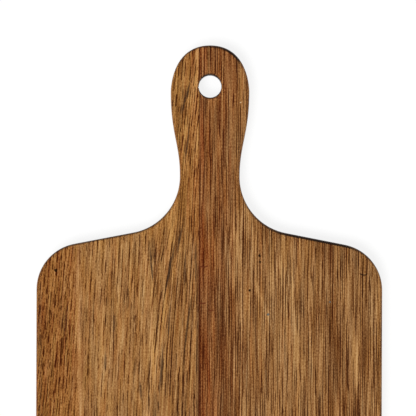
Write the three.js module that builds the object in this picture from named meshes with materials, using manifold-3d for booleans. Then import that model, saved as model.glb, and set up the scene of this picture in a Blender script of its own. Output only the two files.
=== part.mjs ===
// A wooden serving board: a paddle with a waisted handle, cut from two planks glued edge to edge.
// Millimetres. The board lies flat: X runs across it, Y towards the tip of the handle and Z up.
import * as THREE from 'three';
import { mergeVertices } from 'three/addons/utils/BufferGeometryUtils.js';
import Module from 'manifold-3d';

const wasm = await Module();
wasm.setup();

// The whole board
const BOARD_LENGTH = 440;
const BOARD_WIDTH = 220;
const BOARD_THICKNESS = 15;
const EDGE_RADIUS = 1.5; // the same roundover runs round the outline and the hole, on both faces

// The handle, with distances taken from its tip
const HANDLE_WIDTH = 50; // at its widest, beside the hole
const WIDEST_FROM_TIP = 30;
const NECK_WIDTH = 38; // at its narrowest
const NECK_FROM_TIP = 83.5;
const HOLE_DIAMETER = 14.5;
const HOLE_FROM_TIP = 26;

// How far each end of the handle's two curves runs on straight before it turns, as a share of the
// half width or of the length that the curve spans
const TIP_PULL = 0.86;
const WIDEST_PULL_TO_TIP = 0.27;
const WIDEST_PULL_TO_NECK = 0.49;
const NECK_PULL = 0.39;

// The blade
const FLARE_RADIUS = 36.5; // hollow curve from the neck into the shoulder
const SHOULDER_SLOPE = THREE.MathUtils.degToRad(11); // how far the shoulders fall away from square
const SHOULDER_CORNER_RADIUS = 29.5;
const FOOT_CORNER_RADIUS = 29.5;

// The joint between the planks
const SEAM_X = -6.75; // middle of the joint, left of the board's centre line
const GLUE_THICKNESS = 0.25;

const CURVE_SEGMENTS = 12; // steps in a handle curve; an arc has twice as many
const EDGE_SEGMENTS = 4; // steps in the roundover

const tipY = BOARD_LENGTH / 2;
const footY = -BOARD_LENGTH / 2;
const widestY = tipY - WIDEST_FROM_TIP;
const neckY = tipY - NECK_FROM_TIP;
const holeY = tipY - HOLE_FROM_TIP;

// From the tip, square to the centre line, round the bulb and down to the narrowest place.
function drawHandleSide(path) {
  const bulbX = HANDLE_WIDTH / 2;
  const neckX = NECK_WIDTH / 2;
  const bulbPull = WIDEST_PULL_TO_TIP * WIDEST_FROM_TIP;
  const span = NECK_FROM_TIP - WIDEST_FROM_TIP;
  path.moveTo(0, tipY);
  path.bezierCurveTo(TIP_PULL * bulbX, tipY, bulbX, widestY + bulbPull, bulbX, widestY);
  path.bezierCurveTo(
    bulbX, widestY - WIDEST_PULL_TO_NECK * span,
    neckX, neckY + NECK_PULL * span,
    neckX, neckY,
  );
}

// Tangent arcs; the straight shoulder and the straight side join one arc's end to the next one's start.
function drawBladeSide(path) {
  const sine = Math.sin(SHOULDER_SLOPE);
  const cosine = Math.cos(SHOULDER_SLOPE);
  const flareX = NECK_WIDTH / 2 + FLARE_RADIUS;
  const shoulderX = flareX - FLARE_RADIUS * sine;
  const shoulderY = neckY - FLARE_RADIUS * cosine;
  const cornerX = BOARD_WIDTH / 2 - SHOULDER_CORNER_RADIUS;
  const touchX = cornerX + SHOULDER_CORNER_RADIUS * sine;
  const touchY = shoulderY - (touchX - shoulderX) * Math.tan(SHOULDER_SLOPE);
  const cornerY = touchY - SHOULDER_CORNER_RADIUS * cosine;
  const footCornerX = BOARD_WIDTH / 2 - FOOT_CORNER_RADIUS;
  const footCornerY = footY + FOOT_CORNER_RADIUS;
  path.absarc(flareX, neckY, FLARE_RADIUS, Math.PI, Math.PI * 1.5 - SHOULDER_SLOPE, false);
  path.absarc(cornerX, cornerY, SHOULDER_CORNER_RADIUS, Math.PI / 2 - SHOULDER_SLOPE, 0, true);
  path.absarc(footCornerX, footCornerY, FOOT_CORNER_RADIUS, 0, -Math.PI / 2, true);
}

// The right side runs from tip to foot, and the left side is its mirror image back up to the tip.
function boardOutline() {
  const side = new THREE.Path();
  drawHandleSide(side);
  drawBladeSide(side);
  const right = side.getPoints(CURVE_SEGMENTS);
  const left = right.slice(1).reverse().map((p) => new THREE.Vector2(-p.x, p.y));
  const outline = new THREE.Shape([...right, ...left]);
  const hole = new THREE.Path();
  hole.absarc(0, holeY, HOLE_DIAMETER / 2, 0, Math.PI * 2, false);
  outline.holes.push(hole);
  return outline;
}

function solidFrom(geometry) {
  const bare = new THREE.BufferGeometry();
  bare.setAttribute('position', geometry.getAttribute('position'));
  bare.setIndex(geometry.getIndex());
  const merged = mergeVertices(bare, 1e-4);
  return new wasm.Manifold(new wasm.Mesh({
    numProp: 3,
    vertProperties: new Float32Array(merged.getAttribute('position').array),
    triVerts: new Uint32Array(merged.getIndex().array),
  }));
}

function geometryFrom(solid) {
  const mesh = solid.getMesh();
  const geometry = new THREE.BufferGeometry();
  geometry.setAttribute('position', new THREE.BufferAttribute(mesh.vertProperties, 3));
  geometry.setIndex(new THREE.BufferAttribute(mesh.triVerts, 1));
  geometry.computeVertexNormals();
  return geometry;
}

// The glued-up panel after sawing, drilling and rounding over, before it is told apart into its pieces.
function panelSolid() {
  const geometry = new THREE.ExtrudeGeometry(boardOutline(), {
    depth: BOARD_THICKNESS - 2 * EDGE_RADIUS,
    curveSegments: CURVE_SEGMENTS,
    bevelThickness: EDGE_RADIUS,
    bevelSize: EDGE_RADIUS,
    bevelOffset: -EDGE_RADIUS,
    bevelSegments: EDGE_SEGMENTS,
  });
  geometry.translate(0, 0, EDGE_RADIUS);
  return solidFrom(geometry);
}

// A block taller than the board, from x0 to x1 and from y0 to y1.
function block(x0, x1, y0, y1) {
  const geometry = new THREE.BoxGeometry(x1 - x0, y1 - y0, BOARD_THICKNESS * 2);
  geometry.translate((x0 + x1) / 2, (y0 + y1) / 2, BOARD_THICKNESS / 2);
  return solidFrom(geometry);
}

const panel = panelSolid();
const glueLeft = SEAM_X - GLUE_THICKNESS / 2;
const glueRight = SEAM_X + GLUE_THICKNESS / 2;

function leftPlank() {
  return panel.intersect(block(-BOARD_WIDTH, glueLeft, -BOARD_LENGTH, BOARD_LENGTH));
}

function rightPlank() {
  return panel.intersect(block(glueRight, BOARD_WIDTH, -BOARD_LENGTH, BOARD_LENGTH));
}

// The hole cuts the film of glue in two.
function glueLineTip() {
  return panel.intersect(block(glueLeft, glueRight, holeY, BOARD_LENGTH));
}

function glueLineMain() {
  return panel.intersect(block(glueLeft, glueRight, -BOARD_LENGTH, holeY));
}

function goldenWood() {
  return new THREE.MeshStandardMaterial({ color: 0x936439, roughness: 0.5, metalness: 0 });
}

function tanWood() {
  return new THREE.MeshStandardMaterial({ color: 0x875b36, roughness: 0.5, metalness: 0 });
}

function driedGlue() {
  return new THREE.MeshStandardMaterial({ color: 0x4a2c14, roughness: 0.4, metalness: 0 });
}

function piece(name, solid, material) {
  const mesh = new THREE.Mesh(geometryFrom(solid), material);
  mesh.name = name;
  return mesh;
}

const board = new THREE.Group();
board.name = 'serving_board';
board.add(piece('left_plank', leftPlank(), goldenWood()));
board.add(piece('right_plank', rightPlank(), tanWood()));
board.add(piece('glue_line_tip', glueLineTip(), driedGlue()));
board.add(piece('glue_line_main', glueLineMain(), driedGlue()));

export default board;
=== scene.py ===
# %% [markdown]
# A wooden serving board, built round its CAD model. Two planks of oiled acacia are glued edge to edge,
# and a paddle with a waisted handle is sawn, drilled and rounded over from the panel. The script works in
# the same order: it draws the paddle's template, makes the panel, saws it apart at the glue line, and
# then spends most of its lines on the wood, because the grain is nearly all that there is to see.

# %% Load the CAD model
import math
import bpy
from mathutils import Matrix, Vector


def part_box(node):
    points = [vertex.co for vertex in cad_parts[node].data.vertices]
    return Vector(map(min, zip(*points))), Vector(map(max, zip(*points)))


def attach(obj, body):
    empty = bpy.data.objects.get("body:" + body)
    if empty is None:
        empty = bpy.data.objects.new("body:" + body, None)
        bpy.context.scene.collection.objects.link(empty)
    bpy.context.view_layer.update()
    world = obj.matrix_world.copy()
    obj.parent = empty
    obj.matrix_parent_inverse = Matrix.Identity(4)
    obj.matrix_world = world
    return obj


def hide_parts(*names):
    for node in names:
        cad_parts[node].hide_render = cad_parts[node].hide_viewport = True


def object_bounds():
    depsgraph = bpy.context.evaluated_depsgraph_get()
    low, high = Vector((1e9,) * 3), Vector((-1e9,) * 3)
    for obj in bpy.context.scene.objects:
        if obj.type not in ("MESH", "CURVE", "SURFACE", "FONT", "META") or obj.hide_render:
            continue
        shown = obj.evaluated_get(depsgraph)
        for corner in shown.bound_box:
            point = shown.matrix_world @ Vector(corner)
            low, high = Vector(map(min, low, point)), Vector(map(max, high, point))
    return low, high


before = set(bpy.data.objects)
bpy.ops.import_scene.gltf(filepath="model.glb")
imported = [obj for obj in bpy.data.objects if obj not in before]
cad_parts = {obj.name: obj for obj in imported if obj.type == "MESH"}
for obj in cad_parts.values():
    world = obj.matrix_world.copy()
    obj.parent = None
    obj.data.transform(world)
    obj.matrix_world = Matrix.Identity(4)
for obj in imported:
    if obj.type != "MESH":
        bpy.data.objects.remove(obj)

from types import SimpleNamespace

import bpy
from mathutils import Color, Vector

MM = 0.001
cad_low, cad_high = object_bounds()
print("CAD nodes:", ", ".join(sorted(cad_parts)))
print("CAD box in mm:", [round(side / MM, 2) for side in cad_high - cad_low])

# %% [markdown]
# The CAD nodes give every overall size: the board's box, the two planks on either side of the joint, and
# the thin film of glue between them. Reading these from the frame, and not typing them in again, keeps
# the fine mesh exactly where the plain solids are.

# %% Measure the planks and the joint
left_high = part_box("left_plank")[1]
right_low, right_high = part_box("right_plank")
HALF_WIDTH = right_high.x
TIP_Y = cad_high.y
FOOT_Y = cad_low.y
THICKNESS = cad_high.z - cad_low.z
GLUE_LEFT = left_high.x
GLUE_RIGHT = right_low.x
print("glue line in mm:", round(GLUE_LEFT / MM, 3), "to", round(GLUE_RIGHT / MM, 3))

# %% [markdown]
# The template is the paddle's outline. It could be built vertex by vertex, but a smooth curve holds it
# with fifteen points, and each point's two handles say directly how the curve arrives and leaves. A round
# corner is a stretch of such a curve too: handles of 4/3 tan(angle / 4) times the radius follow a circle
# closer than a saw could. The pulls along the board's grip are shares of the length or the half width
# that each stretch spans.

# %% Sizes of the template
EDGE_RADIUS = 1.5 * MM
BULB_X, BULB_FROM_TIP = 25 * MM, 30 * MM
NECK_X, NECK_FROM_TIP = 19 * MM, 83.5 * MM
HOLE_RADIUS, HOLE_FROM_TIP = 7.25 * MM, 26 * MM
TIP_PULL, BULB_PULL_UP, BULB_PULL_DOWN, NECK_PULL = 0.86, 0.27, 0.49, 0.39
FLARE_RADIUS = 36.5 * MM
CORNER_RADIUS = 29.5 * MM
SHOULDER_SLOPE = math.radians(11)
HOLE_Y = TIP_Y - HOLE_FROM_TIP


def arc_pull(angle, radius):
    """Length of a curve's handles where it turns through this angle on a circle of this radius."""
    return 4 / 3 * math.tan(angle / 4) * radius


print("hole in mm:", round(2 * HOLE_RADIUS / MM, 2), "across, at y", round(HOLE_Y / MM, 2))


# %% Points of the handle
def handle_points():
    """Tip, widest place and neck, each as its place and the pulls towards the point before and after."""
    bulb_y, neck_y = TIP_Y - BULB_FROM_TIP, TIP_Y - NECK_FROM_TIP
    span = bulb_y - neck_y
    flare_pull = arc_pull(math.pi / 2 - SHOULDER_SLOPE, FLARE_RADIUS)
    return [
        ((0, TIP_Y), (-TIP_PULL * BULB_X, 0), (TIP_PULL * BULB_X, 0)),
        ((BULB_X, bulb_y), (0, BULB_PULL_UP * BULB_FROM_TIP), (0, -BULB_PULL_DOWN * span)),
        ((NECK_X, neck_y), (0, NECK_PULL * span), (0, -flare_pull)),
    ]


print("handle points:", len(handle_points()))


# %% Points of the blade, and the whole template
def blade_points():
    """Shoulder, round corner, straight side and foot corner, in the same form."""
    turn = math.pi / 2 - SHOULDER_SLOPE
    along = Vector((math.cos(SHOULDER_SLOPE), -math.sin(SHOULDER_SLOPE)))
    inward = Vector((-math.sin(SHOULDER_SLOPE), -math.cos(SHOULDER_SLOPE)))
    flare_centre = Vector((NECK_X + FLARE_RADIUS, TIP_Y - NECK_FROM_TIP))
    shoulder = flare_centre + inward * FLARE_RADIUS
    corner_x = HALF_WIDTH - CORNER_RADIUS
    run = (corner_x - inward.x * CORNER_RADIUS - shoulder.x) / along.x
    touch = shoulder + along * run
    corner_y = touch.y + inward.y * CORNER_RADIUS
    corner_pull = arc_pull(turn, CORNER_RADIUS)
    foot_pull = arc_pull(math.pi / 2, CORNER_RADIUS)
    straight = (0, 0)
    return [
        (shoulder, -along * arc_pull(turn, FLARE_RADIUS), straight),
        (touch, straight, along * corner_pull),
        ((HALF_WIDTH, corner_y), (0, corner_pull), straight),
        ((HALF_WIDTH, FOOT_Y + CORNER_RADIUS), straight, (0, -foot_pull)),
        ((corner_x, FOOT_Y), (foot_pull, 0), straight),
    ]


right_side = handle_points() + blade_points()
left_side = [
    ((-place[0], place[1]), (-after[0], after[1]), (-before[0], before[1]))
    for place, before, after in reversed(right_side[1:])
]
template_points = right_side + left_side
print("template points:", len(template_points))

# %% [markdown]
# A flat curve can be filled, thickened and given a round edge by its own settings, and the hole is just a
# second loop inside the first. That rounds the outline and both rims of the hole in one go, as one router
# bit does on the real board. A solid with a Bevel modifier would need each rim picked out by hand. Only
# then does the curve become a mesh, its doubles are merged, and the many triangles of each flat face
# become one face.

# %% Draw the template
bpy.ops.object.select_all(action="DESELECT")
bpy.ops.curve.primitive_bezier_curve_add(location=(0, 0, 0))
panel = bpy.context.object
panel.name = "panel"
outline = panel.data.splines[0]
outline.bezier_points.add(len(template_points) - len(outline.bezier_points))
outline.use_cyclic_u = True
for point, (place, before, after) in zip(outline.bezier_points, template_points):
    point.handle_left_type = point.handle_right_type = "FREE"
    point.co = (*place, 0)
    point.handle_left = (place[0] + before[0], place[1] + before[1], 0)
    point.handle_right = (place[0] + after[0], place[1] + after[1], 0)

bpy.ops.object.mode_set(mode="EDIT")
bpy.ops.curve.select_all(action="DESELECT")
bpy.ops.curve.primitive_bezier_circle_add(radius=HOLE_RADIUS, location=(0, HOLE_Y, 0))
bpy.ops.object.mode_set(mode="OBJECT")
print("template:", len(panel.data.splines), "loops")

# %% Thicken the template into a panel and round its edges
CURVE_STEPS = 24
EDGE_STEPS = 4
MERGE = 0.001 * MM
SAME_PLANE = math.radians(0.05)

panel.data.dimensions = "2D"
panel.data.fill_mode = "BOTH"
panel.data.resolution_u = CURVE_STEPS
panel.data.extrude = THICKNESS / 2 - EDGE_RADIUS
panel.data.bevel_depth = EDGE_RADIUS
panel.data.bevel_resolution = EDGE_STEPS
panel.data.offset = -EDGE_RADIUS
panel.location.z = cad_low.z + THICKNESS / 2
bpy.ops.object.convert(target="MESH")
bpy.ops.object.transform_apply(location=True)

bpy.ops.object.mode_set(mode="EDIT")
bpy.ops.mesh.select_all(action="SELECT")
bpy.ops.mesh.remove_doubles(threshold=MERGE)
bpy.ops.mesh.normals_make_consistent(inside=False)
bpy.ops.mesh.dissolve_limited(angle_limit=SAME_PLANE)
bpy.ops.mesh.select_all(action="DESELECT")
bpy.ops.object.mode_set(mode="OBJECT")
print("panel:", len(panel.data.vertices), "vertices,", len(panel.data.polygons), "faces")

# %% [markdown]
# Smooth shading takes each vertex normal from all the faces round it, so the soft edge would bend the
# shading of the whole flat face. A narrow inset gives that bend just under a millimetre to die out in,
# and the rest stays flat. Flat shading would avoid it too, but then every step of the round edge would
# show.

# %% Inset the flat faces
INSET = 0.8 * MM
SMOOTH_ANGLE = math.radians(30)
LEVEL = math.cos(math.radians(1))

for face in panel.data.polygons:
    face.select = abs(face.normal.z) > LEVEL
print("flat faces:", sum(face.select for face in panel.data.polygons))
bpy.ops.object.mode_set(mode="EDIT")
bpy.ops.mesh.inset(thickness=INSET)
bpy.ops.object.mode_set(mode="OBJECT")
bpy.ops.object.shade_smooth_by_angle(angle=SMOOTH_ANGLE)

# %% [markdown]
# The panel is now sawn back into the pieces that it was glued from. Bisect is the saw: each copy of the
# panel keeps what lies between its cuts, and each cut is filled so that the piece is a closed solid. Two
# planks could also be modelled one by one, but then the edge would have to be matched across the joint.


# %% A saw for the panel
def select_only(piece):
    """Deselects everything else, so that the next operator acts on this piece alone."""
    bpy.ops.object.select_all(action="DESELECT")
    bpy.context.view_layer.objects.active = piece
    piece.select_set(True)


def saw(piece, place, waste_side):
    """Cuts a piece at a plane and throws away what lies on one side of it."""
    select_only(piece)
    bpy.ops.object.mode_set(mode="EDIT")
    bpy.ops.mesh.select_all(action="SELECT")
    bpy.ops.mesh.bisect(plane_co=place, plane_no=waste_side, use_fill=True, clear_outer=True)
    bpy.ops.object.mode_set(mode="OBJECT")


def piece_of_panel(name, cuts):
    """A copy of the panel with these cuts made in it."""
    piece = panel.copy()
    piece.data = panel.data.copy()
    piece.name = piece.data.name = name
    bpy.context.collection.objects.link(piece)
    for place, waste_side in cuts:
        saw(piece, place, waste_side)
    bpy.ops.object.shade_smooth_by_angle(angle=SMOOTH_ANGLE)
    print(name, len(piece.data.polygons), "faces")
    return piece


print("panel to saw:", panel.name, "with", len(panel.data.polygons), "faces")

# %% Saw the panel into planks and glue
to_left, to_right, to_tip, to_foot = (-1, 0, 0), (1, 0, 0), (0, 1, 0), (0, -1, 0)
at_glue_left, at_glue_right, at_hole = (GLUE_LEFT, 0, 0), (GLUE_RIGHT, 0, 0), (0, HOLE_Y, 0)
left_wood = piece_of_panel("left_plank_wood", [(at_glue_left, to_right)])
right_wood = piece_of_panel("right_plank_wood", [(at_glue_right, to_left)])
film_cuts = [(at_glue_left, to_left), (at_glue_right, to_right)]
tip_film = piece_of_panel("glue_film_tip", film_cuts + [(at_hole, to_foot)])
main_film = piece_of_panel("glue_film_main", film_cuts + [(at_hole, to_tip)])
bpy.data.objects.remove(panel)

# %% [markdown]
# A few pin knots have fallen out and left pits as wide as a pencil lead, and the drill tore a splinter
# from the left plank where the hole only just reaches into it. Dark dots in the material would look the
# same from above, but a pit has walls that catch the light from every side, so each is cut with a small
# blunt cone.


# %% A cutter for small hollows
def cut_away(piece, cutter):
    """Takes the cutter's shape out of a piece, and then throws the cutter away."""
    select_only(piece)
    cut = piece.modifiers.new("cut", "BOOLEAN")
    cut.operation = "DIFFERENCE"
    cut.solver = "EXACT"
    cut.object = cutter
    bpy.ops.object.modifier_apply(modifier=cut.name)
    bpy.data.objects.remove(cutter)
    bpy.ops.object.mode_set(mode="EDIT")
    bpy.ops.mesh.select_all(action="SELECT")
    bpy.ops.mesh.remove_doubles(threshold=MERGE)
    bpy.ops.mesh.select_all(action="DESELECT")
    bpy.ops.object.mode_set(mode="OBJECT")
    bpy.ops.object.shade_smooth_by_angle(angle=SMOOTH_ANGLE)


print("planks to cut:", left_wood.name, "and", right_wood.name)

# %% Pits of the pin knots
PIT_DEPTH = 1.1 * MM
PIT_SIDES = 10
PIT_MOUTH, PIT_FLOOR = 1.7, 0.3
# x, y and the radius at the face, in millimetres
LEFT_KNOTS = [(-97.7, 76.5, 0.9)]
RIGHT_KNOTS = [(31.9, 86.3, 0.85), (32.2, 82.3, 0.75), (25.7, 64.2, 0.75)]


def pit(x, y, radius):
    """A blunt cone that stands half in the top face, its narrow end down."""
    bpy.ops.object.select_all(action="DESELECT")
    bpy.ops.mesh.primitive_cone_add(
        vertices=PIT_SIDES, radius1=PIT_FLOOR * radius * MM, radius2=PIT_MOUTH * radius * MM,
        depth=2 * PIT_DEPTH, location=(x * MM, y * MM, cad_high.z))
    return bpy.context.object


for piece, knots in ((left_wood, LEFT_KNOTS), (right_wood, RIGHT_KNOTS)):
    for knot in knots:
        cut_away(piece, pit(*knot))
    print(piece.name, "with pits:", len(knots), "and faces:", len(piece.data.polygons))

# %% Chip at the rim of the hole
CHIP_X, CHIP_Y, CHIP_RADIUS, CHIP_SIDES = -7.25 * MM, 193.5 * MM, 0.5 * MM, 7

bpy.ops.object.select_all(action="DESELECT")
bpy.ops.mesh.primitive_cylinder_add(vertices=CHIP_SIDES, radius=CHIP_RADIUS, depth=2 * THICKNESS,
                                    location=(CHIP_X, CHIP_Y, THICKNESS / 2))
cut_away(left_wood, bpy.context.object)
print(left_wood.name, "with its chip:", len(left_wood.data.polygons), "faces")

# %% [markdown]
# The glued board is one rigid thing, so all its pieces ride on one body. Each piece takes the place of
# the CAD solid of the same name, which stays for collisions but is hidden. The CAD solids could stay on
# show, but they have coarser curves, no pits and no chip.

# %% Join the pieces to the CAD model
for piece, node, slot in (
    (left_wood, "left_plank", "left_plank_wood"),
    (right_wood, "right_plank", "right_plank_wood"),
    (tip_film, "glue_line_tip", "wood_glue"),
    (main_film, "glue_line_main", "wood_glue"),
):
    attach(piece, "root")
    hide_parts(node)
    print(piece.name, "stands for", node, "and is finished as", slot)

# %% [markdown]
# Wood is solid all through, so its pattern is worked out from the place inside the plank and not painted
# on. The board's sides, ends and underside then show the same grain that the top shows, cut another way.
# The nodes could be placed by hand in the editor, but some hundreds of them are easier to read as
# formulas. The helpers below only save typing: they add a node and feed it, do a step of arithmetic, make
# a soft step from 0 to 1, mix two values by a mask, add a share of a layer, and make and place node groups
# with named sockets.


# %% Helpers that add nodes
def feed(tree, socket, value):
    """Gives a socket a fixed value, or links it to another node's output."""
    if isinstance(value, bpy.types.NodeSocket):
        tree.links.new(value, socket)
    else:
        socket.default_value = value


def add_node(tree, kind, inputs, **options):
    """Adds a node, sets its options and feeds its inputs."""
    node = tree.nodes.new(kind)
    for name, value in options.items():
        setattr(node, name, value)
    for name, value in inputs.items():
        feed(tree, node.inputs[name], value)
    return node


def calc(tree, operation, *values, clamp=False):
    """One step of arithmetic on numbers or sockets."""
    node = add_node(tree, "ShaderNodeMath", dict(enumerate(values)), operation=operation, use_clamp=clamp)
    return node.outputs[0]


def axes_of(tree, place):
    """A place taken apart into its X, Y and Z."""
    return add_node(tree, "ShaderNodeSeparateXYZ", {0: place}).outputs


print("helpers that add nodes:", [helper.__name__ for helper in (feed, add_node, calc, axes_of)])


# %% Helpers that mix
def soft_step(tree, value, start, end):
    """0 at the start, 1 at the end and a smooth rise between; the start may be the larger number."""
    inputs = {"Value": value, "From Min": start, "From Max": end}
    return add_node(tree, "ShaderNodeMapRange", inputs, interpolation_type="SMOOTHSTEP").outputs["Result"]


def mix_value(tree, mask, first, second):
    """The first value where the mask is 0, the second where it is 1."""
    return add_node(tree, "ShaderNodeMix", {0: mask, 2: first, 3: second}, data_type="FLOAT").outputs[0]


def mix_colour(tree, mask, first, second):
    """The first colour where the mask is 0, the second where it is 1."""
    return add_node(tree, "ShaderNodeMix", {0: mask, 6: first, 7: second}, data_type="RGBA").outputs[2]


def blend_in(tree, value, *layers):
    """Adds layers to a value, each given as a pair: the layer and the share of it to add."""
    for layer, share in layers:
        value = calc(tree, "MULTIPLY_ADD", layer, share, value)
    return value


print("helpers that mix:", [helper.__name__ for helper in (soft_step, mix_value, mix_colour, blend_in)])


# %% Helpers for node groups
def new_group(name, inputs, outputs):
    """Starts a group and gives back its tree, inputs and outputs. An input set to None takes a vector."""
    group = bpy.data.node_groups.new(name, "ShaderNodeTree")
    for label, default in inputs.items():
        kind = "NodeSocketVector" if default is None else "NodeSocketFloat"
        socket = group.interface.new_socket(label, in_out="INPUT", socket_type=kind)
        if default is not None:
            socket.default_value = default
    for label, kind in outputs.items():
        group.interface.new_socket(label, in_out="OUTPUT", socket_type="NodeSocket" + kind)
    start = group.nodes.new("NodeGroupInput")
    end = group.nodes.new("NodeGroupOutput")
    return group, start.outputs, end.inputs


def use_group(tree, group, *values, **named):
    """Places a group in a tree, feeds its inputs in their order or by name, and gives back its outputs."""
    node = tree.nodes.new("ShaderNodeGroup")
    node.node_tree = group
    for socket, value in zip(node.inputs, values):
        feed(tree, socket, value)
    for name, value in named.items():
        feed(tree, node.inputs[name.replace("_", " ")], value)
    return node.outputs


print("helpers for groups:", [helper.__name__ for helper in (new_group, use_group)])

# %% [markdown]
# The growth rings lean through the thickness of a plank, as they do in any board that isn't sawn dead
# through the middle of the log. Sliding the place sideways with depth does that: a stripe on the top
# comes out a few millimetres further over on the underside, and crosses the end grain at a slant. Turning
# the place would lean it as well, but would also squeeze the stripes on the top.


# %% Place in the plank, in millimetres
def make_place_group():
    """Object coordinates in millimetres, with depth counted down from the top face."""
    tree, given, made = new_group("place_in_plank", {"Lean": 0.5}, {"Place": "Vector"})
    coordinates = tree.nodes.new("ShaderNodeTexCoord").outputs["Object"]
    to_mm = (1 / MM, 1 / MM, 1 / MM)
    scaled = add_node(tree, "ShaderNodeVectorMath", {0: coordinates, 1: to_mm}, operation="MULTIPLY")
    axes = axes_of(tree, scaled.outputs[0])
    depth = calc(tree, "SUBTRACT", axes["Z"], cad_high.z / MM)
    across = calc(tree, "MULTIPLY_ADD", depth, given["Lean"], axes["X"])
    place = add_node(tree, "ShaderNodeCombineXYZ", {"X": across, "Y": axes["Y"], "Z": depth})
    tree.links.new(place.outputs[0], made["Place"])
    return tree


place_group = make_place_group()
print(place_group.name, len(place_group.nodes), "nodes")

# %% [markdown]
# Nearly everything in plain-sawn wood is one thing at several sizes: something narrow across the grain
# and drawn out along it. So one group makes a layer of drawn-out noise, and each material places it
# several times, from broad patches to single fibres. Its output, Swing, goes above and below zero, to
# lighten and to darken, and Shift moves the noise along, so that no two layers are alike. A wood texture
# from a picture would be quicker, but it couldn't follow the grain round the board's edges.

# %% One layer of drawn-out grain
BEND_ACROSS, BEND_ALONG = 26, 75
NOISE_MIDDLE = 0.5


def drawn_out(tree, x, axes, across, along, shift):
    """A place with its axes scaled, so that noise on it is narrow across the grain and long along it."""
    return add_node(tree, "ShaderNodeCombineXYZ", {
        "X": calc(tree, "ADD", calc(tree, "DIVIDE", x, across), shift),
        "Y": calc(tree, "DIVIDE", axes["Y"], along),
        "Z": calc(tree, "DIVIDE", axes["Z"], across),
    }).outputs[0]


def noise_at(tree, place, detail=0):
    """Smooth noise, from 0 to 1."""
    return add_node(tree, "ShaderNodeTexNoise", {"Vector": place, "Scale": 1, "Detail": detail}).outputs[0]


def slanted_and_bent(tree, given, axes, bend_across, bend_along):
    """The place across the grain, after the grain's slant and a slow wander to either side."""
    x = calc(tree, "SUBTRACT", axes["X"], calc(tree, "MULTIPLY", axes["Y"], given["Slant"]))
    bend = noise_at(tree, drawn_out(tree, x, axes, bend_across, bend_along, given["Shift"]))
    return calc(tree, "MULTIPLY_ADD", calc(tree, "SUBTRACT", bend, NOISE_MIDDLE), given["Wander"], x)


def make_grain_group():
    """Noise that is as wide as Across and as long as Along, in millimetres."""
    sizes = {"Across": 2.0, "Along": 40.0, "Detail": 0.0, "Slant": 0.0, "Wander": 2.0, "Shift": 0.0}
    tree, given, made = new_group("grain_layer", {"Place": None, **sizes}, {"Swing": "Float"})
    axes = axes_of(tree, given["Place"])
    x = slanted_and_bent(tree, given, axes, BEND_ACROSS, BEND_ALONG)
    stretched = drawn_out(tree, x, axes, given["Across"], given["Along"], given["Shift"])
    noise = noise_at(tree, stretched, given["Detail"])
    tree.links.new(calc(tree, "MULTIPLY_ADD", noise, 2, -1), made["Swing"])
    return tree


grain_group = make_grain_group()
print(grain_group.name, len(grain_group.nodes), "nodes")

# %% [markdown]
# The fine dark lines are rows of pores, one row to each spell of growth, so they keep their distance from
# each other. Noise can't do that by itself. Here the place across the grain is counted in spacings: the
# whole part of the count numbers the line, the rest says how far away it is. Each number then gets its
# own strength, which comes and goes along the plank and breaks the line into dashes. Gaps says how much
# of it is left out.

# %% Rows of pores
ROW_BEND_ACROSS, ROW_BEND_ALONG = 7, 80
RAGGED_ACROSS, RAGGED_ALONG, RAGGEDNESS = 0.8, 6, 0.25
ROW_DEPTH = 6
APART = 3.7
FADE = 0.16
THINNEST = 0.3
BLACK_CORE = 0.3
ROW_MIDDLE = 0.5


def row_strength(tree, given, axes, count):
    """How strong each numbered row is, place by place along the plank."""
    course = add_node(tree, "ShaderNodeCombineXYZ", {
        "X": calc(tree, "MULTIPLY_ADD", calc(tree, "FLOOR", count), APART, given["Shift"]),
        "Y": calc(tree, "DIVIDE", axes["Y"], given["Break"]),
        "Z": calc(tree, "DIVIDE", axes["Z"], ROW_DEPTH),
    }).outputs[0]
    full = calc(tree, "ADD", given["Gaps"], FADE)
    return soft_step(tree, noise_at(tree, course, detail=1), given["Gaps"], full)


def make_pore_group():
    """Broken dark rows that are a Spacing apart, each as wide as Width times that."""
    sizes = {"Spacing": 2.2, "Width": 0.15, "Break": 20.0, "Slant": 0.0, "Wander": 3.0, "Shift": 0.0,
             "Gaps": 0.42}
    tree, given, made = new_group("pore_rows", {"Place": None, **sizes}, {"Row": "Float"})
    axes = axes_of(tree, given["Place"])
    x = slanted_and_bent(tree, given, axes, ROW_BEND_ACROSS, ROW_BEND_ALONG)
    ragged = noise_at(tree, drawn_out(tree, x, axes, RAGGED_ACROSS, RAGGED_ALONG, given["Shift"]))
    count = blend_in(tree, calc(tree, "DIVIDE", x, given["Spacing"]), (ragged, RAGGEDNESS))
    strength = row_strength(tree, given, axes, count)
    distance = calc(tree, "ABSOLUTE", calc(tree, "SUBTRACT", calc(tree, "FRACT", count), ROW_MIDDLE))
    swelling = calc(tree, "MULTIPLY_ADD", strength, 1 - THINNEST, THINNEST)
    width = calc(tree, "MULTIPLY", given["Width"], swelling)
    row = soft_step(tree, distance, width, calc(tree, "MULTIPLY", width, BLACK_CORE))
    tree.links.new(calc(tree, "MULTIPLY", row, strength), made["Row"])
    return tree


pore_group = make_pore_group()
print(pore_group.name, len(pore_group.nodes), "nodes")

# %% [markdown]
# Oiled acacia keeps to three families of brown. Most of it is golden, the heart next to the joint is red,
# and slow patches turn grey. In each family a darker tone is also a more saturated one, which is why a
# ramp of given tones looks right where a plain darkening looks like soot.

# %% Wood tones
GOLDEN_TONES = [(67, 27, 0), (110, 66, 23), (146, 97, 45), (176, 125, 66), (202, 153, 90)]
RED_TONES = [(73, 15, 0), (115, 50, 13), (153, 86, 40), (183, 118, 67), (207, 147, 93)]
GREY_TONES = [(58, 27, 6), (97, 60, 29), (136, 96, 58), (166, 126, 82), (194, 156, 110)]


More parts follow.
